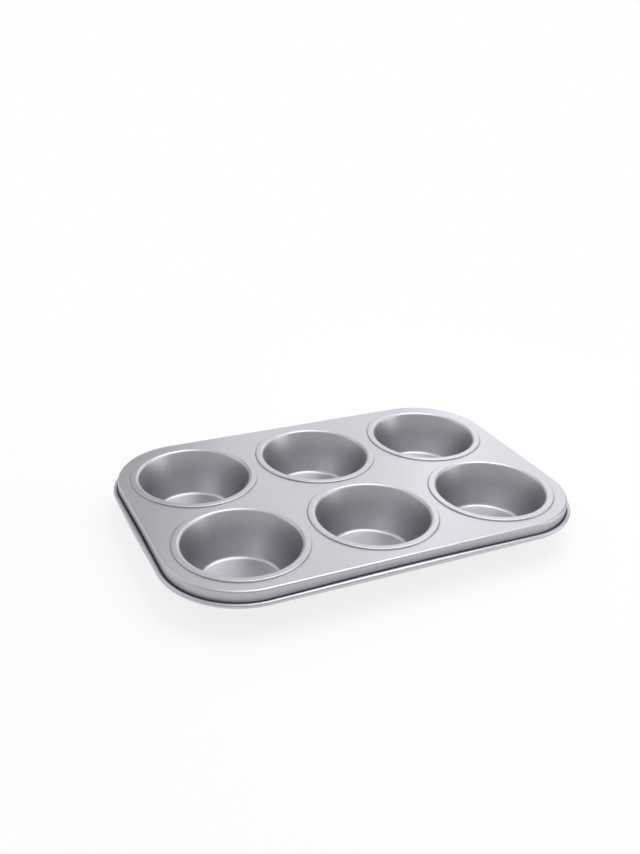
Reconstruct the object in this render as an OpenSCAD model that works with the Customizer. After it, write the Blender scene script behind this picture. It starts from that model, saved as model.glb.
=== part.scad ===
// Six-cup muffin tin, pressed from one sheet of coated steel.
// The flat deck carries the cups; each cup has a raised collar round its mouth.
// The deck's edge is turned down into a skirt and rolled outward into a hollow bead.
// Millimetres. The origin is under the middle of the tin, on the plane it stands on.

/* [Sheet] */
// Thickness of the sheet
sheet_t = 0.6; // [0.4:0.1:0.9]

/* [Cups] */
// Number of cups along the length
cup_columns = 3; // [1:1:6]
// Number of cups across the width
cup_rows = 2; // [1:1:4]
// Distance between cup middles along the length
pitch_x = 85; // [83:0.5:110]
// Distance between cup middles across the width
pitch_y = 83.5; // [83:0.5:110]
// Clear diameter of a cup where its lip ends
mouth_d = 69.6; // [60:0.2:71]
// Depth of a cup, from the top of its collar to its floor
cup_depth = 28; // [18:0.5:45]
// Slope of a cup's wall from upright, in degrees
wall_draft = 20; // [5:1:25]
// Radius of the lip, on its upper face
lip_r = 2.2; // [1.2:0.1:2.6]
// Radius between a cup's wall and its floor, on the inside
floor_r = 2.5; // [1.5:0.5:8]

/* [Collars] */
// Diameter of the raised collar at its foot
collar_d = 80.2; // [79:0.2:81]
// Height of the collar above the deck
collar_rise = 0.9; // [0.3:0.1:1.5]
// Radius at the foot of the collar
foot_r = 0.15; // [0.1:0.05:0.5]

/* [Deck] */
// Width of flat deck from the outer collars to the skirt
margin = 7.4; // [6:0.2:15]
// Outside radius of the deck's corners
corner_r = 45.5; // [20:0.5:46]

/* [Rim] */
// Outside radius of the bend from deck to skirt
bend_r = 1.6; // [1:0.1:3]
// Depth of the rim, from the deck's top to the bottom of the bead
rim_depth = 9; // [7:0.1:14]
// Outside diameter of the rolled bead
bead_d = 3.4; // [3:0.1:5]
// Clear gap between the skirt and the bead
bead_gap = 0.2; // [0.2:0.1:1]
// How far the bead is rolled round, in degrees
bead_turn = 290; // [180:5:295]

/* [Hidden] */
$fn = 120;
// Largest turn between two points of a drawn bend
arc_step = 10;
// Width over which two sheet sections lie in one another where they join
lap = 1;

// Heights of the sheet's upper face
floor_z = sheet_t;
collar_z = floor_z + cup_depth;
deck_z = collar_z - collar_rise;

// The deck, measured over the skirt's outer faces
deck_l = (cup_columns - 1) * pitch_x + collar_d + 2 * margin;
deck_w = (cup_rows - 1) * pitch_y + collar_d + 2 * margin;

// The collar's edge is a hollow bend and then a round one, with an upright riser between them if it is high
crest_r = foot_r + sheet_t;
step_turn = acos(max(0, 1 - collar_rise / (foot_r + crest_r)));
crest_x = collar_d / 2 - (foot_r + crest_r) * sin(step_turn);

// The lip's and the floor bend's centres, on either end of the sloping wall
lip_x = mouth_d / 2 + lip_r * cos(wall_draft);
wall_drop = cup_depth - (lip_r + floor_r) * (1 - sin(wall_draft));
floor_x = mouth_d / 2 - wall_drop * tan(wall_draft) - floor_r * cos(wall_draft);

// The bead's middle, and the hollow inside it
bead_z = deck_z - rim_depth + bead_d / 2;
bead_x = bead_gap + bead_d / 2;
hollow_r = bead_d / 2 - sheet_t;

// A section is a list of points on the sheet's upper face, each with the angle of the face's normal.
// side is 1 for a round bend, whose centre lies under the face, and -1 for a hollow one.
function bend(centre, r, from, to, side) =
    let (steps = max(2, ceil(abs(to - from) / arc_step)))
    [for (i = [0:steps])
        let (a = from + (to - from) * i / steps)
        [centre[0] + side * r * cos(a), centre[1] + side * r * sin(a), a]];

// From the deck over the collar and the lip, down the wall and in to the middle of the floor
cup_path = concat(
    [[collar_d / 2 + lap, deck_z, 90]],
    bend([collar_d / 2, deck_z + foot_r], foot_r, 90, 90 - step_turn, -1),
    bend([crest_x, collar_z - crest_r], crest_r, 90 - step_turn, 90, 1),
    bend([lip_x, collar_z - lip_r], lip_r, 90, 180 - wall_draft, 1),
    bend([floor_x, floor_z + floor_r], floor_r, 180 - wall_draft, 90, -1),
    [[0, floor_z, 90]]
);

// From the deck over the edge, down the skirt and round the bead; x is 0 on the skirt's outer face
rim_path = concat(
    [[-bend_r - lap, deck_z, 90]],
    bend([-bend_r, deck_z - bend_r], bend_r, 90, 0, 1),
    bend([hollow_r, bead_z], hollow_r, 0, 90, -1),
    bend([bead_x, bead_z], hollow_r, 90, 90 + bead_turn, -1)
);

// The sheet's cut section along a path: out along its upper face and back along its under face
module sheet_section(path) {
    last = len(path) - 1;
    polygon(concat(
        [for (p = path) [p[0], p[1]]],
        [for (i = [last:-1:0])
            let (p = path[i])
            [p[0] - sheet_t * cos(p[2]), p[1] - sheet_t * sin(p[2])]]
    ));
}

// Places its children at the middle of every cup
module at_cups() {
    for (i = [0:cup_columns - 1], j = [0:cup_rows - 1])
        translate([(i - (cup_columns - 1) / 2) * pitch_x, (j - (cup_rows - 1) / 2) * pitch_y, 0])
            children();
}

module rounded_rectangle(l, w, r) {
    square([l - 2 * r, w], center = true);
    square([l, w - 2 * r], center = true);
    for (x = [-1, 1], y = [-1, 1])
        translate([x * (l / 2 - r), y * (w / 2 - r)])
            circle(r);
}

// The flat of the deck, with a hole for every cup and its collar
module deck_plate() {
    translate([0, 0, deck_z - sheet_t])
        linear_extrude(sheet_t)
            difference() {
                rounded_rectangle(deck_l - 2 * bend_r, deck_w - 2 * bend_r, corner_r - bend_r);
                at_cups() circle(d = collar_d);
            }
}

module cup() {
    rotate_extrude() sheet_section(cup_path);
}

// One straight stretch of the rim, centred on the X axis and facing -Y
module rim_side(length) {
    translate([-length / 2, 0, 0])
        rotate([90, 0, 90])
            linear_extrude(length)
                mirror([1, 0])
                    sheet_section(rim_path);
}

// One quarter turn of the rim, round the Z axis from +X to +Y
module rim_corner() {
    rotate_extrude(angle = 90)
        translate([corner_r, 0])
            sheet_section(rim_path);
}

module rim() {
    side_l = deck_l - 2 * corner_r;
    side_w = deck_w - 2 * corner_r;
    for (turn = [0, 180])
        rotate([0, 0, turn]) {
            translate([0, -deck_w / 2, 0]) rim_side(side_l);
            rotate([0, 0, 90]) translate([0, -deck_l / 2, 0]) rim_side(side_w);
            translate([side_l / 2, side_w / 2, 0]) rim_corner();
            translate([-side_l / 2, side_w / 2, 0]) rotate([0, 0, 90]) rim_corner();
        }
}

module muffin_tin() {
    color([0.72, 0.72, 0.75]) {
        deck_plate();
        at_cups() cup();
        rim();
    }
}

muffin_tin();
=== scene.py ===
# %% [markdown]
# # A muffin tin of coated sheet steel
# The real tin starts as one flat sheet. A press draws the six cups out of it, sets a raised collar
# round each mouth, turns the edge down into a skirt and rolls it outward into a hollow bead.
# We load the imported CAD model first. It is the frame: it fixes the place and the size of everything,
# and the surface made below has to lie exactly where it lies.

# %% Load the frame
import math

import bmesh
import bpy
import numpy as np
from mathutils import Matrix, Vector


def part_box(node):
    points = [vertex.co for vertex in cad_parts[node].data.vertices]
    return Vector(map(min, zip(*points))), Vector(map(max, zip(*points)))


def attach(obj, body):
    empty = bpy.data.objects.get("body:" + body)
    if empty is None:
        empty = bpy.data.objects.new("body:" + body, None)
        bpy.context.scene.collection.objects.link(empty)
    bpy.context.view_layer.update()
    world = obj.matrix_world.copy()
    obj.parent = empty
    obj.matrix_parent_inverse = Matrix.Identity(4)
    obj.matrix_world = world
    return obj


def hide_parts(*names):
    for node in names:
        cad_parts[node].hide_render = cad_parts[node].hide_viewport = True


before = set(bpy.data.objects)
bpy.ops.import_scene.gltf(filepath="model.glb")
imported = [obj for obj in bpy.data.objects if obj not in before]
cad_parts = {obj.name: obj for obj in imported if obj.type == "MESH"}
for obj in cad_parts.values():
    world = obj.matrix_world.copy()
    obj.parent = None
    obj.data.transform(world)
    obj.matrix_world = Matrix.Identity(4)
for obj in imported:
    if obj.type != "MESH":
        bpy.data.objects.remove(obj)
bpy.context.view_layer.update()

tin_low, tin_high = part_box("muffin_tin")
print("the tin's box in mm", [round(1000 * (h - l), 1) for l, h in zip(tin_low, tin_high)])

# %% [markdown]
# ## The sheet's sizes
# A pressed part is described by a few bend radii and the lengths between them. The outer size is read
# from the frame, and the rest is given here in millimetres as a press tool's drawing would give it.
# The upper face of the sheet is the one that is modelled: its thickness is added at the end.

# %% Sizes
MM = 0.001
SHEET_T = 0.6 * MM
PITCH_X = 85 * MM
PITCH_Y = 83.5 * MM
CUP_COLUMNS = 3
CUP_ROWS = 2
MOUTH_R = 34.8 * MM
CUP_DEPTH = 28 * MM
WALL_DRAFT = math.radians(20)
LIP_R = 2.2 * MM
FLOOR_R = 2.5 * MM
COLLAR_R = 40.1 * MM
COLLAR_RISE = 0.9 * MM
FOOT_R = 0.15 * MM
CORNER_R = 45.5 * MM
BEND_R = 1.6 * MM
RIM_DEPTH = 9 * MM
BEAD_R = 1.7 * MM
BEAD_GAP = 0.2 * MM
BEAD_TURN = math.radians(290)

collar_z = tin_high[2]
floor_z = collar_z - CUP_DEPTH
deck_z = collar_z - COLLAR_RISE
rim_reach = BEAD_GAP + 2 * BEAD_R
half_l = tin_high[0] - rim_reach
half_w = tin_high[1] - rim_reach
print("deck over the skirt, mm", round(2000 * half_l, 1), round(2000 * half_w, 1))
print("floor, deck and collar at, mm", [round(1000 * z, 2) for z in (floor_z, deck_z, collar_z)])

# %% [markdown]
# ## A section drawn from arcs
# Every bend in the sheet is a circular arc, and between two bends the sheet runs straight. So one
# helper is enough: it walks round an arc and gives points on the sheet's upper face. Where two arcs
# end with the same slope, the straight stretch between them needs no points of its own.
# A bezier curve could be used, but it only comes close to a bend radius, and an arc is exact.


# %% The arc helper
def arc(centre, radius, start, end, steps, side=1):
    """Points centre + side * radius * (cos a, sin a), for steps + 1 angles a from start to end.

    a is the direction of the face's normal. side is 1 for a round bend and -1 for a hollow one,
    whose centre lies above the face.
    """
    a = np.linspace(start, end, steps + 1)
    return np.stack([centre[0] + side * radius * np.cos(a), centre[1] + side * radius * np.sin(a)], 1)


UP = math.pi / 2
INWARD = math.pi - WALL_DRAFT
print("a quarter bend", np.round(arc((0, 0), 1, UP, 0, 3), 2).tolist())

# %% [markdown]
# ## The cup's profile
# From the middle of the floor outward: the flat floor, a hollow bend, the sloping wall, the round lip,
# a narrow flat ring, and the small step down from the collar to the deck. Short extra rings sit just
# beside each bend, so that smooth shading turns in the bend and the flats stay flat.

# %% The cup's profile
crest_r = FOOT_R + SHEET_T
step_turn = math.acos(max(0, 1 - COLLAR_RISE / (FOOT_R + crest_r)))
crest_x = COLLAR_R - (FOOT_R + crest_r) * math.sin(step_turn)
lip_x = MOUTH_R + LIP_R * math.cos(WALL_DRAFT)
wall_drop = CUP_DEPTH - (LIP_R + FLOOR_R) * (1 - math.sin(WALL_DRAFT))
floor_x = MOUTH_R - wall_drop * math.tan(WALL_DRAFT) - FLOOR_R * math.cos(WALL_DRAFT)
BESIDE = 0.3 * MM
INNER_RING = 0.4
WALL_SHARES = np.array([[0.02], [0.5], [0.98]])

floor_rings = np.array([[r, floor_z] for r in (0, INNER_RING * floor_x, floor_x - BESIDE)])
floor_bend = arc((floor_x, floor_z + FLOOR_R), FLOOR_R, UP, INWARD, 8, side=-1)
lip_bend = arc((lip_x, collar_z - LIP_R), LIP_R, INWARD, UP, 9)
wall_ends = np.stack([floor_bend[-1], lip_bend[0]])
wall_rings = wall_ends[0] + WALL_SHARES * (wall_ends[1] - wall_ends[0])
ring_flat = np.array([[lip_x + BESIDE, collar_z], [crest_x - BESIDE, collar_z]])
crest_bend = arc((crest_x, collar_z - crest_r), crest_r, UP, UP - step_turn, 4)
foot_bend = arc((COLLAR_R, deck_z + FOOT_R), FOOT_R, UP - step_turn, UP, 3, side=-1)
cup_profile = np.concatenate([floor_rings, floor_bend, wall_rings, lip_bend, ring_flat,
                              crest_bend, foot_bend[1:]])
print("cup profile:", len(cup_profile), "rings, floor", round(2000 * floor_x, 1), "mm across")

# %% [markdown]
# ## The rim's profile
# It is drawn with 0 on the skirt's outer face and runs outward: the bend off the deck, the skirt, a
# quarter bend outward and the roll that closes into the bead. The rolled edge stops just short of the
# skirt, which leaves the crevice that shows all along the rim, darkened further by painted shade.
# The CAD model has one even bead. On the real tin it looks thicker along the sides than round the
# corners, where it also sits lower and more of the skirt shows above it. Two sections with the same
# number of points make that easy: a blend of two arcs with equal angles is an arc again. That the
# hidden sides look the same is a guess.

# %% The rim's profile
EDGE_STEPS = 8
FOOT_STEPS = 5
ROLL_STEPS = 22
SKIRT_SHARES = np.array([[0.05], [0.95]])
SIDE_BEAD_R = 1.9 * MM
CORNER_BEAD_R = 1.35 * MM
SIDE_BEAD_FOOT = deck_z - RIM_DEPTH
CORNER_BEAD_FOOT = SIDE_BEAD_FOOT - 0.25 * MM


def rim_profile(bead_r, bead_foot):
    """Section of the rim for a bead of radius bead_r whose lowest point is at the height bead_foot."""
    bead_z = bead_foot + bead_r
    hollow_r = bead_r - SHEET_T
    edge_flat = np.array([[-BEND_R - BESIDE, deck_z]])
    edge_bend = arc((-BEND_R, deck_z - BEND_R), BEND_R, UP, 0, EDGE_STEPS)
    skirt_foot = arc((hollow_r, bead_z), hollow_r, 0, UP, FOOT_STEPS, side=-1)
    skirt = edge_bend[-1] + SKIRT_SHARES * (skirt_foot[0] - edge_bend[-1])
    bead_roll = arc((BEAD_GAP + bead_r, bead_z), hollow_r, UP, UP + BEAD_TURN, ROLL_STEPS, side=-1)
    return np.concatenate([edge_flat, edge_bend, skirt, skirt_foot, bead_roll])


side_profile = rim_profile(SIDE_BEAD_R, SIDE_BEAD_FOOT)
corner_profile = rim_profile(CORNER_BEAD_R, CORNER_BEAD_FOOT)
print("rim profile:", len(side_profile), "points, bead", round(2000 * SIDE_BEAD_R, 1), "mm across,",
      "in the corners", round(2000 * CORNER_BEAD_R, 1))

# %% [markdown]
# ## One cell of the deck
# The deck is cut into one cell for each cup. Rays leave the cup's middle, and each ray carries the
# cup's profile and then runs on flat to the cell's border. Two neighbouring cells mirror each other,
# so their border points fall together and can be merged. The rays that hit a corner of any cell
# belong to the set for every cell, so no corner is cut.


# %% Rays
edge_in = BEND_R + BESIDE
flat_l = half_l - edge_in
flat_w = half_w - edge_in
flat_corner_r = CORNER_R - edge_in
end_x = flat_l - (CUP_COLUMNS - 1) / 2 * PITCH_X
end_y = flat_w - (CUP_ROWS - 1) / 2 * PITCH_Y
corner_angles = np.sort([math.atan2(PITCH_Y / 2, end_x), math.atan2(PITCH_Y / 2, PITCH_X / 2),
                         math.atan2(end_y, end_x), math.atan2(end_y, PITCH_X / 2)])
corner_angles = corner_angles[np.append(True, np.diff(corner_angles) > 1e-6)]
RAYS_BESIDE = 16


def ray_angles():
    """Angles of one full turn, the same in all four quarters, with every cell corner among them."""
    low = np.linspace(0, corner_angles[0], RAYS_BESIDE, endpoint=False)
    high = np.linspace(corner_angles[-1], math.pi / 2, RAYS_BESIDE + 1)[1:]
    quarter = np.concatenate([low, corner_angles, high])
    half = np.concatenate([quarter, math.pi - quarter[-2::-1]])
    return np.concatenate([half, 2 * math.pi - half[-2:0:-1]])


angles = ray_angles()
print(len(angles), "rays in each cell")


# %% Where a ray leaves its cell
def cell_border(column, row):
    """Ray directions, their distances to the cell's border, and where that is the deck's edge its normal.

    A ray meets an upright side at half width / |cos| and a level side at half depth / |sin|, and the
    nearer one counts. In a corner of the deck it meets the corner's circle instead: with centre k and
    radius R that is k.d + sqrt((k.d)^2 - k.k + R^2) along the direction d.
    """
    d = np.stack([np.cos(angles), np.sin(angles)], 1)
    sign = np.where(d >= 0, 1, -1)
    last = np.array([CUP_COLUMNS - 1, CUP_ROWS - 1])
    edge = np.where(sign > 0, np.array([column, row]) == last, np.array([column, row]) == 0)
    half = np.where(edge, [end_x, end_y], [PITCH_X / 2, PITCH_Y / 2])
    reach = half / np.maximum(np.abs(d), 1e-12)
    side = reach.argmin(1)
    distance = reach.min(1)
    on_edge = edge[np.arange(len(d)), side]
    normal = np.where(np.arange(2) == side[:, None], sign, 0).astype(float)

    k = sign * (np.array([end_x, end_y]) - flat_corner_r)
    along = (k * d).sum(1)
    root = along ** 2 - (k * k).sum(1) + flat_corner_r ** 2
    round_distance = along + np.sqrt(np.maximum(root, 0))
    hit = d * round_distance[:, None]
    rounded = edge.all(1) & (sign * (hit - k) > 0).all(1)
    distance = np.where(rounded, round_distance, distance)
    normal = np.where(rounded[:, None], (hit - k) / flat_corner_r, normal)
    return d, distance, normal, on_edge | rounded


_, border, _, on_edge = cell_border(0, 0)
print("front left cell: border", round(1000 * border.min(), 1), "to", round(1000 * border.max(), 1),
      "mm from its middle,", int(on_edge.sum()), "rays reach the deck's edge")


# %% [markdown]
# ## From grids to one mesh
# Each cell is a grid of rings by rays, and the rim is a grid of profile points by outline points.
# The grids are worked out as whole arrays. Their shared borders are then merged, which leaves one
# skin with a single free edge: the end of the sheet, hidden inside the bead.


# %% Grid faces
DECK_SHARES = np.array([[0.06], [0.5], [0.94], [1.0]])
SAME_PLACE = 0.001 * MM


def grid_faces(rows, columns, first):
    """Quads of a grid that closes on itself sideways and whose vertices start at number first."""
    i, j = np.meshgrid(np.arange(rows - 1), np.arange(columns), indexing="ij")
    right = (j + 1) % columns
    near, far = i * columns, (i + 1) * columns
    return first + np.stack([near + j, far + j, far + right, near + right], -1).reshape(-1, 4)


def cell_grid(column, row):
    """Rings of one cell: the profile turned round the cup, then each ray's points out to the border."""
    d, distance, _, _ = cell_border(column, row)
    deck_r = COLLAR_R + DECK_SHARES * (distance - COLLAR_R)
    cup_r = np.repeat(cup_profile[:, :1], len(angles), 1)
    radius = np.concatenate([cup_r, deck_r])
    height = np.concatenate([cup_profile[:, 1], np.full(len(DECK_SHARES), deck_z)])
    middle = np.array([(column - (CUP_COLUMNS - 1) / 2) * PITCH_X, (row - (CUP_ROWS - 1) / 2) * PITCH_Y])
    plan = middle + radius[..., None] * d
    return np.concatenate([plan, np.broadcast_to(height[:, None, None], radius.shape + (1,))], -1)


def outline():
    """Points and outward normals where all rays meet the flat deck's edge, in order round the tin."""
    points, normals = [], []
    for column in range(CUP_COLUMNS):
        for row in range(CUP_ROWS):
            _, _, normal, on_edge = cell_border(column, row)
            points.append(cell_grid(column, row)[-1, on_edge, :2])
            normals.append(normal[on_edge])
    points, normals = np.concatenate(points), np.concatenate(normals)
    order = np.argsort(np.arctan2(points[:, 1], points[:, 0]))
    points, normals = points[order], normals[order]
    apart = np.linalg.norm(points - np.roll(points, 1, 0), axis=1) > SAME_PLACE
    return points[apart], normals[apart]


edge_points, edge_normals = outline()
print(len(edge_points), "points round the deck's edge")


# %% The skin
THIN_WITHIN = 15 * MM
FULL_BEYOND = 110 * MM
ROLL_END_ROWS = 4


def smooth_step(x):
    """0 below 0, 1 above 1 and 3x^2 - 2x^3 between, which starts and ends level."""
    x = np.clip(x, 0, 1)
    return x * x * (3 - 2 * x)


def corner_share(points):
    """1 near the middle of a corner and 0 far from it, by the distance to the nearest corner's middle."""
    on_arc = flat_corner_r / math.sqrt(2)
    corner = np.array([flat_l - flat_corner_r + on_arc, flat_w - flat_corner_r + on_arc])
    away = np.linalg.norm(np.abs(points) - corner, axis=1)
    return 1 - smooth_step((away - THIN_WITHIN) / (FULL_BEYOND - THIN_WITHIN))


def rim_grid():
    """The rim's section carried round the outline: points move out along the normal, at their own heights."""
    share = corner_share(edge_points)[None, :, None]
    section = side_profile[:, None] + share * (corner_profile - side_profile)[:, None]
    plan = edge_points + (section[..., :1] + edge_in) * edge_normals
    return np.concatenate([plan, section[..., 1:]], -1)


# Shares of the painted shade that darkens the crevices, row by row.
def crevice_shade_share(rows, first, last):
    """1 for profile rows from first to last, half beside them and 0 elsewhere."""
    row = np.arange(rows)
    outside = np.maximum(first - row, row - last)
    return np.clip(1 - 0.5 * outside, 0, 1)


def skin_arrays():
    """All vertices, quads and crevice values of the sheet's upper face, before the shared borders are merged.

    A crevice is the collar's steep outer side down to its foot, and the slot between skirt and bead:
    the bend at the skirt's foot and the last rows of the roll. Its value is the share of painted shade there.
    """
    cells = [cell_grid(c, r) for c in range(CUP_COLUMNS) for r in range(CUP_ROWS)]
    collar_foot = len(cup_profile) - 2
    cell_share = crevice_shade_share(len(cells[0]), collar_foot - 2, collar_foot)
    rim_rows = len(side_profile)
    skirt_foot = EDGE_STEPS + 2 + len(SKIRT_SHARES)
    rim_share = np.maximum(crevice_shade_share(rim_rows, skirt_foot, skirt_foot + FOOT_STEPS),
                           crevice_shade_share(rim_rows, rim_rows - ROLL_END_ROWS, rim_rows))
    vertices, faces, crevice_shades, count = [], [], [], 0
    for grid, share in [(cell, cell_share) for cell in cells] + [(rim_grid(), rim_share)]:
        rows, columns = grid.shape[:2]
        vertices.append(grid.reshape(-1, 3))
        faces.append(grid_faces(rows, columns, count))
        crevice_shades.append(np.repeat(share, columns))
        count += rows * columns
    return np.concatenate(vertices), np.concatenate(faces), np.concatenate(crevice_shades)


vertices, faces, crevice_shades = skin_arrays()
print(len(vertices), "vertices and", len(faces), "quads in the grids")


# %% Make the mesh
def make_mesh(name, vertices, faces, crevice_shades):
    """A mesh from whole arrays, with vertices closer than a thousandth of a millimetre merged."""
    mesh = bpy.data.meshes.new(name)
    mesh.from_pydata(vertices.tolist(), [], faces.tolist())
    # The crevice attribute places the painted shade of the crevices.
    mesh.attributes.new("crevice", "FLOAT", "POINT").data.foreach_set("value", crevice_shades)
    work = bmesh.new()
    work.from_mesh(mesh)
    bmesh.ops.remove_doubles(work, verts=work.verts, dist=SAME_PLACE)
    for face in work.faces:
        face.smooth = True
    work.to_mesh(mesh)
    work.free()
    mesh.update()
    return mesh


tin = bpy.data.objects.new("tin_sheet", make_mesh("tin_sheet", vertices, faces, crevice_shades))
bpy.context.scene.collection.objects.link(tin)
free_edges = len(tin.data.edges) * 2 - sum(len(p.vertices) for p in tin.data.polygons)
print("merged:", len(tin.data.vertices), "vertices, free edges", free_edges, "of", len(edge_points),
      "expected")

# %% [markdown]
# ## Where the sheet was drawn
# The press stretches the sheet down each cup's wall and down the skirt. It leaves faint lines that run
# with the draw. The walls and the skirt are also made darker in the coat's colour: painted shade, for the
# darker look of these steep faces in this light. The finish needs to know where a wall is and which way it
# runs, so each vertex keeps two attributes: how much it belongs to a drawn wall, and its turn round the
# cup's middle. The turn is kept as a cosine and a sine, because they have no jump anywhere.


# %% Wall attributes
CUP_STEP = 3
LINE_HEIGHT = 200 * MM
WALL_START, WALL_FADE = 1 * MM, 3 * MM
LIP_START, LIP_FADE = 0.6 * MM, 2.5 * MM
SKIRT_FADE = 1 * MM
EDGE_START, EDGE_FADE = 0.4 * MM, 1.2 * MM


def drawn_attributes(mesh):
    """Two attributes, drawn and draw lines, from the vertices' places as whole arrays.

    drawn is 1 on a cup's wall and on the skirt, and falls to 0 within the bends at their ends, by
    height. draw lines is (cosine, sine) of the turn round the nearest cup's middle, moved on by
    CUP_STEP for each cup, and the height over LINE_HEIGHT, so that noise read with it makes long
    lines down the wall.
    """
    co = np.empty(len(mesh.vertices) * 3)
    mesh.vertices.foreach_get("co", co)
    co = co.reshape(-1, 3)
    first = np.array([-(CUP_COLUMNS - 1) / 2 * PITCH_X, -(CUP_ROWS - 1) / 2 * PITCH_Y])
    pitch = np.array([PITCH_X, PITCH_Y])
    number = np.clip(np.round((co[:, :2] - first) / pitch), 0, [CUP_COLUMNS - 1, CUP_ROWS - 1])
    from_middle = co[:, :2] - first - number * pitch
    radius = np.linalg.norm(from_middle, axis=1)
    z = co[:, 2]
    above_floor = smooth_step((z - floor_z - WALL_START) / WALL_FADE)
    on_wall = above_floor * smooth_step((collar_z - LIP_START - z) / LIP_FADE)
    above_bead = smooth_step((z - SIDE_BEAD_FOOT - 2 * SIDE_BEAD_R) / SKIRT_FADE)
    on_skirt = above_bead * smooth_step((deck_z - EDGE_START - z) / EDGE_FADE)
    # drawn also places the painted shade that darkens the walls and the skirt.
    drawn = np.where(radius < lip_x, on_wall, on_skirt)
    turn = from_middle / np.maximum(radius, 1e-9)[:, None] + CUP_STEP * number
    lines = np.column_stack([turn, z / LINE_HEIGHT])
    mesh.attributes.new("drawn", "FLOAT", "POINT").data.foreach_set("value", drawn)
    mesh.attributes.new("draw lines", "FLOAT_VECTOR", "POINT").data.foreach_set("vector", lines.ravel())
    return drawn


drawn = drawn_attributes(tin.data)
print("vertices on drawn walls:", int((drawn > 0.5).sum()), "of", len(drawn))

# %% [markdown]
# ## Thickness
# Solidify gives the skin its 0.6 mm, downward from the upper face, and closes the free edge.
# Modelling the under face by hand would repeat every bend with another radius. Even thickness keeps
# the wall the same in the bends, as it is in the CAD section.

# %% Thickness
wall = tin.modifiers.new("sheet thickness", "SOLIDIFY")
wall.thickness = SHEET_T
wall.offset = -1
wall.use_even_offset = True
wall.use_rim = True
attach(tin, "root")
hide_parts("muffin_tin")
print("solid wall of", round(1000 * wall.thickness, 2), "mm")

# %% [markdown]
# ## The finish
# The tin has a satin silver-grey non-stick coat: metal flake in a clear binder. It reflects like
# metal with a fine matt face, so it is a metallic surface with middling roughness. Four things vary:
# the flake shows as a very fine grain, the sprayed coat is a little uneven from place to place, the
# drawn walls and the skirt have faint lines down them and are made slightly darker as painted shade,
# and the crevices get a stronger painted shade. The grain, the unevenness and the lines are node groups
# that give a number around 0, and the material adds up all four. Painting the same marks into an image
# would fix their sharpness, and these stay sharp however close the tin is seen.


# %% A helper for the groups
def new_group(name, inputs, outputs):
    """A shader node group with named number inputs and named number outputs."""
    group = bpy.data.node_groups.new(name, "ShaderNodeTree")
    for label, value in inputs.items():
        group.interface.new_socket(label, in_out="INPUT", socket_type="NodeSocketFloat").default_value = value
    for label in outputs:
        group.interface.new_socket(label, in_out="OUTPUT", socket_type="NodeSocketFloat")
    return group, group.nodes.new("NodeGroupInput"), group.nodes.new("NodeGroupOutput")


def maths(nodes, links, operation, first, second):
    """One Math node on two sockets or plain numbers; gives its output socket."""
    node = nodes.new("ShaderNodeMath")
    node.operation = operation
    for socket, value in zip(node.inputs, (first, second)):
        if isinstance(value, (int, float)):
            socket.default_value = value
        else:
            links.new(value, socket)
    return node.outputs[0]


def attribute(nodes, name):
    """The node that reads one of the mesh's attributes."""
    node = nodes.new("ShaderNodeAttribute")
    node.attribute_name = name
    return node


print("helpers", [f.__name__ for f in (new_group, maths, attribute)])

# %% The grain group
GRAIN_ROUGHNESS = 0.6


def speckle():
    """Noise in object space with spots of a given size in metres, centred on 0."""
    group, start, end = new_group("speckle", {"Spot Size": 0.001, "Detail": 2}, ["Amount"])
    nodes, links = group.nodes, group.links
    place = nodes.new("ShaderNodeTexCoord")
    noise = nodes.new("ShaderNodeTexNoise")
    noise.inputs["Roughness"].default_value = GRAIN_ROUGHNESS
    links.new(place.outputs["Object"], noise.inputs["Vector"])
    links.new(maths(nodes, links, "DIVIDE", 1, start.outputs["Spot Size"]), noise.inputs["Scale"])
    links.new(start.outputs["Detail"], noise.inputs["Detail"])
    links.new(maths(nodes, links, "SUBTRACT", noise.outputs["Fac"], 0.5), end.inputs["Amount"])
    return group


speckle_group = speckle()
print("group", speckle_group.name)


# %% The draw line group
LINE_DETAIL = 3


def draw_lines():
    """Noise read with the draw lines attribute, centred on 0 and kept to the drawn walls, and their mask."""
    group, start, end = new_group("draw lines", {"Lines Round": 1}, ["Amount", "Wall"])
    nodes, links = group.nodes, group.links
    wall_mask = attribute(nodes, "drawn")
    noise = nodes.new("ShaderNodeTexNoise")
    noise.inputs["Detail"].default_value = LINE_DETAIL
    links.new(attribute(nodes, "draw lines").outputs["Vector"], noise.inputs["Vector"])
    links.new(start.outputs["Lines Round"], noise.inputs["Scale"])
    centred = maths(nodes, links, "SUBTRACT", noise.outputs["Fac"], 0.5)
    links.new(maths(nodes, links, "MULTIPLY", centred, wall_mask.outputs["Fac"]), end.inputs["Amount"])
    # Wall is the mask where the coat gets painted shade.
    links.new(wall_mask.outputs["Fac"], end.inputs["Wall"])
    return group


draw_group = draw_lines()
print("group", draw_group.name)

# %% The coating's values
COAT_COLOUR = (0.53, 0.53, 0.57)
COAT_ROUGHNESS = 0.36
FLAKE_SIZE = 0.6 * MM
FLAKE_CONTRAST = 0.4
FLAKE_RELIEF = 0.006 * MM
UNEVEN_SIZE = 28 * MM
UNEVEN_DETAIL = 4
UNEVEN_CONTRAST = 0.09
UNEVEN_GLOSS = 0.06
LINES_ROUND = 40
LINE_CONTRAST = 0.12
LINE_GLOSS = 0.15
# Painted shade: how much darker the coat's colour is made on the walls and the skirt.
WALL_PAINTED_SHADE = 0.12
# Painted shade: how much darker the coat's colour is made in the crevices.
CREVICE_PAINTED_SHADE = 0.55
print("coat", COAT_COLOUR, "roughness", COAT_ROUGHNESS)


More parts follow.
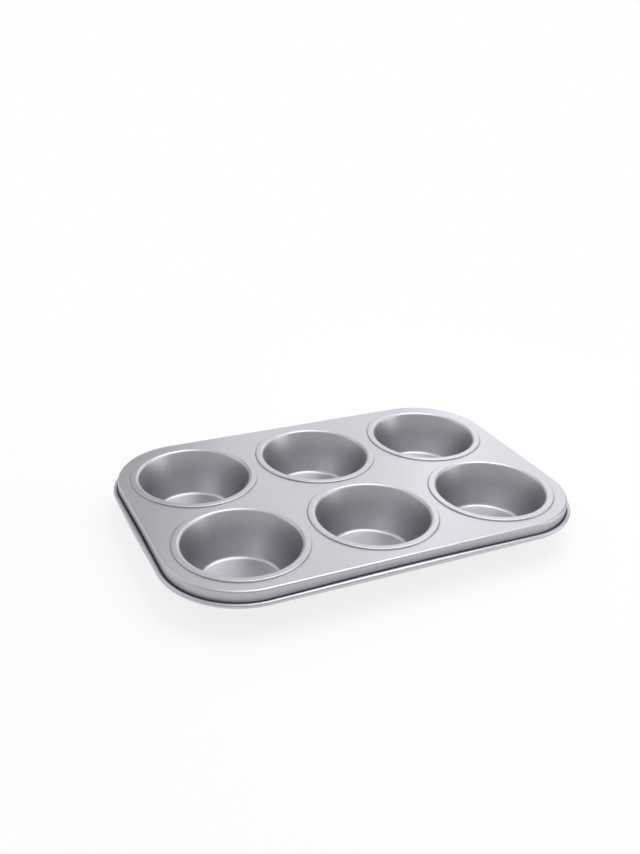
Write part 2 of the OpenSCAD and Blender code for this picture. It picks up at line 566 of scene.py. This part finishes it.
# %% The coating
def coated_steel():
    """Metallic coat: lightness is 1 plus flake, unevenness and draw lines, less by painted shade on walls,
    skirt and in crevices.

    Roughness is COAT_ROUGHNESS plus its own shares of unevenness and draw lines, and the flake gives a
    very low relief.
    """
    material = bpy.data.materials.new("coated steel")
    material.use_nodes = True
    nodes, links = material.node_tree.nodes, material.node_tree.links
    shader = nodes["Principled BSDF"]
    shader.inputs["Metallic"].default_value = 1

    def group_node(group, **values):
        node = nodes.new("ShaderNodeGroup")
        node.node_tree = group
        for label, value in values.items():
            node.inputs[label.replace("_", " ")].default_value = value
        return node

    def share(socket, factor):
        return maths(nodes, links, "MULTIPLY", socket, factor)

    def total(*parts):
        result = parts[0]
        for part in parts[1:]:
            result = maths(nodes, links, "ADD", result, part)
        return result

    flake = group_node(speckle_group, Spot_Size=FLAKE_SIZE).outputs["Amount"]
    uneven = group_node(speckle_group, Spot_Size=UNEVEN_SIZE, Detail=UNEVEN_DETAIL).outputs["Amount"]
    drawn_wall = group_node(draw_group, Lines_Round=LINES_ROUND)
    lines = drawn_wall.outputs["Amount"]
    # Painted shade in the crevices, read from their attribute.
    crevice = attribute(nodes, "crevice").outputs["Fac"]
    # The wall and crevice terms below are painted shade, not the coat's own colour.
    lightness = total(share(flake, FLAKE_CONTRAST), share(uneven, UNEVEN_CONTRAST),
                      share(lines, LINE_CONTRAST), share(drawn_wall.outputs["Wall"], -WALL_PAINTED_SHADE),
                      share(crevice, -CREVICE_PAINTED_SHADE), 1)
    tint = nodes.new("ShaderNodeVectorMath")
    tint.operation = "SCALE"
    tint.inputs[0].default_value = COAT_COLOUR
    links.new(lightness, tint.inputs["Scale"])
    links.new(tint.outputs[0], shader.inputs["Base Color"])
    roughness = total(share(uneven, UNEVEN_GLOSS), share(lines, LINE_GLOSS), COAT_ROUGHNESS)
    links.new(roughness, shader.inputs["Roughness"])
    bump = nodes.new("ShaderNodeBump")
    bump.inputs["Distance"].default_value = FLAKE_RELIEF
    links.new(flake, bump.inputs["Height"])
    links.new(bump.outputs[0], shader.inputs["Normal"])
    return material


tin.data.materials.append(coated_steel())
print("material", tin.data.materials[0].name)

# %% [markdown]
# ## Camera
# The photograph's camera was worked out from the ellipses of the six round mouths and the outline of
# the deck and the rim. It looks down from the front left, slightly rolled, and needs no lens shift.

# %% Camera
IMAGE_SIZE = (640, 854)
FOCAL_PIXELS = 947.7
AZIMUTH = math.radians(-26.46)
ELEVATION = math.radians(25.56)
ROLL = math.radians(2.6)
DISTANCE = 7.123 * PITCH_X
AIM = (0.169 * PITCH_X, -0.414 * PITCH_X)
AIM_HEIGHT = deck_z + 0.3 * MM
SENSOR_MM = 36
FARTHEST_SEEN = 100

level = math.cos(ELEVATION)
back = Vector((math.sin(AZIMUTH) * level, -math.cos(AZIMUTH) * level, math.sin(ELEVATION)))
right = Vector((math.cos(AZIMUTH), math.sin(AZIMUTH), 0))
up = back.cross(right)
rolled_right = math.cos(ROLL) * right + math.sin(ROLL) * up
rolled_up = math.cos(ROLL) * up - math.sin(ROLL) * right
place = DISTANCE * back - AIM[0] * rolled_right - AIM[1] * rolled_up + Vector((0, 0, AIM_HEIGHT))

lens = bpy.data.cameras.new("camera")
lens.sensor_width = SENSOR_MM
lens.lens = FOCAL_PIXELS * SENSOR_MM / max(IMAGE_SIZE)
lens.clip_end = FARTHEST_SEEN
camera = bpy.data.objects.new("camera", lens)
turned = Matrix((rolled_right, rolled_up, back)).transposed().to_4x4()
camera.matrix_world = Matrix.Translation(place) @ turned
bpy.context.scene.collection.objects.link(camera)
bpy.context.scene.camera = camera
bpy.context.scene.view_settings.view_transform = "Standard"
print("camera", [round(v, 3) for v in place], "lens", round(lens.lens, 1), "mm")

# %% [markdown]
# ## Studio
# The tin stands on a pale floor. It is plain white where the camera or a reflection meets it, and partly
# an ordinary pale surface close to the tin, so that the tin keeps its soft shadow. The world is white
# along the horizon, where it meets the floor, dim above that and brighter again overhead. A smooth
# metal shows little but its surroundings, so the light is chosen for what the sheet mirrors. From the
# camera's side the deck mirrors what is behind the tin, and the cups' walls mirror one another.

# %% Floor
FLOOR_HALF = 60
FLOOR_ALBEDO = (0.86, 0.86, 0.86, 1)
SHADOW_LEFT_OUT = 0.8
SHADOW_START = 0.2
SHADOW_END = 0.45
FLOOR_BELOW = 0.2 * MM


def smooth_ramp(nodes, links, value, low, high, start, end):
    """A number that turns smoothly from start to end while value rises from low to high."""
    ramp = nodes.new("ShaderNodeMapRange")
    ramp.interpolation_type = "SMOOTHSTEP"
    for label, number in (("From Min", low), ("From Max", high), ("To Min", start), ("To Max", end)):
        ramp.inputs[label].default_value = number
    links.new(value, ramp.inputs["Value"])
    return ramp.outputs["Result"]


def pale_floor():
    """A diffuse floor, seen by the camera and in reflections as plain white with a part of its shadow.

    The white part grows with the distance from the tin's middle, from SHADOW_LEFT_OUT to all of it.
    """
    material = bpy.data.materials.new("pale floor")
    material.use_nodes = True
    nodes, links = material.node_tree.nodes, material.node_tree.links
    nodes.clear()
    out = nodes.new("ShaderNodeOutputMaterial")
    mix = nodes.new("ShaderNodeMixShader")
    diffuse = nodes.new("ShaderNodeBsdfDiffuse")
    diffuse.inputs["Color"].default_value = FLOOR_ALBEDO
    white = nodes.new("ShaderNodeEmission")
    white.inputs["Color"].default_value = (1, 1, 1, 1)
    place = nodes.new("ShaderNodeTexCoord")
    length = nodes.new("ShaderNodeVectorMath")
    length.operation = "LENGTH"
    links.new(place.outputs["Object"], length.inputs[0])
    far = smooth_ramp(nodes, links, length.outputs["Value"], SHADOW_START, SHADOW_END, SHADOW_LEFT_OUT, 1)
    path = nodes.new("ShaderNodeLightPath")
    seen = path.outputs["Is Camera Ray"]
    for ray in ("Is Glossy Ray", "Is Transmission Ray"):
        seen = maths(nodes, links, "MAXIMUM", seen, path.outputs[ray])
    links.new(maths(nodes, links, "MULTIPLY", far, seen), mix.inputs["Fac"])
    links.new(diffuse.outputs[0], mix.inputs[1])
    links.new(white.outputs[0], mix.inputs[2])
    links.new(mix.outputs[0], out.inputs["Surface"])
    return material


floor_mesh = bpy.data.meshes.new("studio_floor")
corners = FLOOR_HALF * np.array([[-1, -1, 0], [1, -1, 0], [1, 1, 0], [-1, 1, 0]])
floor_mesh.from_pydata(corners.tolist(), [], [(0, 1, 2, 3)])
floor = bpy.data.objects.new("studio_floor", floor_mesh)
floor.location.z = tin_low[2] - FLOOR_BELOW
floor_mesh.materials.append(pale_floor())
bpy.context.scene.collection.objects.link(floor)
print("floor", 2 * FLOOR_HALF, "m across, just under the tin")

# %% [markdown]
# ## Light from all round
# A studio's walls and ceiling throw back light from everywhere, and a pressed sheet mirrors them in
# each bend. A ring of panels could stand for them. A world that depends only on the height of a ray
# does the same without edges, and looks alike from every side.

# %% World
WORLD_TOP = 0.73
DARK_AT = -0.4
BRIGHT_AT = 0.9
GLOW_FULL = 0.12
GLOW_ENDS = 0.26


def studio_world():
    """Light by the height z of a ray's direction: g + (1 - g) * u, the same all round.

    u rises smoothly from 0 at DARK_AT to WORLD_TOP at BRIGHT_AT, and the glow g falls smoothly from
    1 at GLOW_FULL to 0 at GLOW_ENDS.
    """
    world = bpy.data.worlds.new("studio")
    world.use_nodes = True
    nodes, links = world.node_tree.nodes, world.node_tree.links
    background = nodes["Background"]
    background.inputs["Color"].default_value = (1, 1, 1, 1)
    direction = nodes.new("ShaderNodeTexCoord")
    split = nodes.new("ShaderNodeSeparateXYZ")
    links.new(direction.outputs["Generated"], split.inputs[0])
    height = split.outputs["Z"]
    mix = nodes.new("ShaderNodeMix")
    links.new(smooth_ramp(nodes, links, height, GLOW_FULL, GLOW_ENDS, 1, 0), mix.inputs["Factor"])
    links.new(smooth_ramp(nodes, links, height, DARK_AT, BRIGHT_AT, 0, WORLD_TOP), mix.inputs["A"])
    mix.inputs["B"].default_value = 1
    links.new(mix.outputs["Result"], background.inputs["Strength"])
    return world


bpy.context.scene.world = studio_world()
print("world light up to", WORLD_TOP, "overhead")


# %% [markdown]
# ## Soft boxes
# Five square lamps give the broad highlights. Two large ones, left and right, light the cups' walls,
# two weak ones behind are mirrored in the deck, and one overhead lights the cups' floors. Glowing
# panels could do this too, but area lamps give less noise and can be hidden from the camera.

# %% Place the soft boxes
def soft_box(name, heading, height, away, size, power):
    """A square lamp of a given size, away from the tin's middle and turned to it.

    heading and height are the direction's angles in degrees: heading is counted clockwise, seen from
    above, from where the camera looks, and height is counted up from the level. The lamp's own -Z
    looks back along that direction. The camera doesn't see the lamp itself.
    """
    turn = math.pi / 2 + AZIMUTH - math.radians(heading)
    rise = math.radians(height)
    direction = Vector((math.cos(turn) * math.cos(rise), math.sin(turn) * math.cos(rise), math.sin(rise)))
    lamp = bpy.data.lights.new(name, "AREA")
    lamp.size = size
    lamp.energy = power
    box = bpy.data.objects.new(name, lamp)
    box.location = Vector((0, 0, deck_z)) + away * direction
    box.rotation_euler = (-direction).to_track_quat("-Z", "Y").to_euler()
    box.visible_camera = False
    bpy.context.scene.collection.objects.link(box)
    return box


soft_box("top_box", 80, 75, 0.6, 0.54, 1.85)
soft_box("right_box", 90, 18, 1.4, 1.0, 3.2)
soft_box("left_box", 280, 36, 1.4, 1.0, 1.8)
soft_box("back_right_box", 30, 25, 0.6, 0.35, 0.31)
soft_box("back_box", 0, 28, 0.6, 0.35, 0.25)

# %% [markdown]
# ## The boxes
# The finished tin has to fill the CAD model's box. The bead is a little thicker along the sides here, so it
# reaches just past.

# %% Update the scene
bpy.context.view_layer.update()
